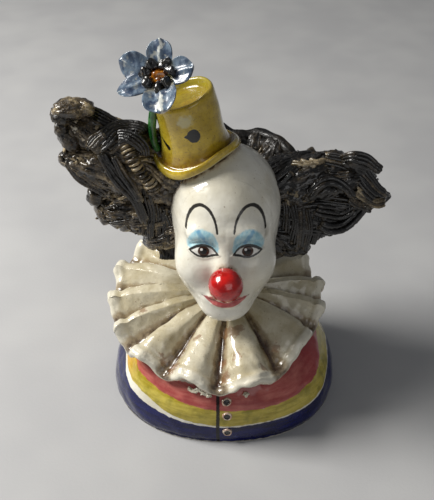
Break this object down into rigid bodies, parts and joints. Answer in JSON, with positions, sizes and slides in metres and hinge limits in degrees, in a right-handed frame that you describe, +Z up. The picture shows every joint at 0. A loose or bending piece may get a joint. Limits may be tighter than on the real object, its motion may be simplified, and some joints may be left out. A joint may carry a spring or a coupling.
{
  "type": "clown bust",
  "caption": "Small glazed earthenware clown bust with a pleated ruff, striped shoulders, wild clay hair, ball nose, and a little top hat with a flower.",
  "frame": {"origin": "middle of the flat underside", "axes": "+Z up; the face looks along -Y; +X is the clown's left"},
  "size_m": [0.1417, 0.094, 0.1669],
  "materials": {
    "painted_body": "glossy white glaze with hand-painted stripes and make-up",
    "nose": "glossy red glaze",
    "ruff": "glossy cream glaze, brown in the creases",
    "hair": "dark brown glaze, tan where it is thin on the edges",
    "hat": "glossy yellow glaze, amber where it pools",
    "stem": "glossy green glaze",
    "flower": "blue glaze brushed over white"
  },
  "bodies": {
    "root": {"bust": "painted_body", "nose": "nose", "ruff": "ruff", "hair": "hair", "hat": "hat", "flower_stem": "stem", "flower": "flower"}
  },
  "joints": []
}
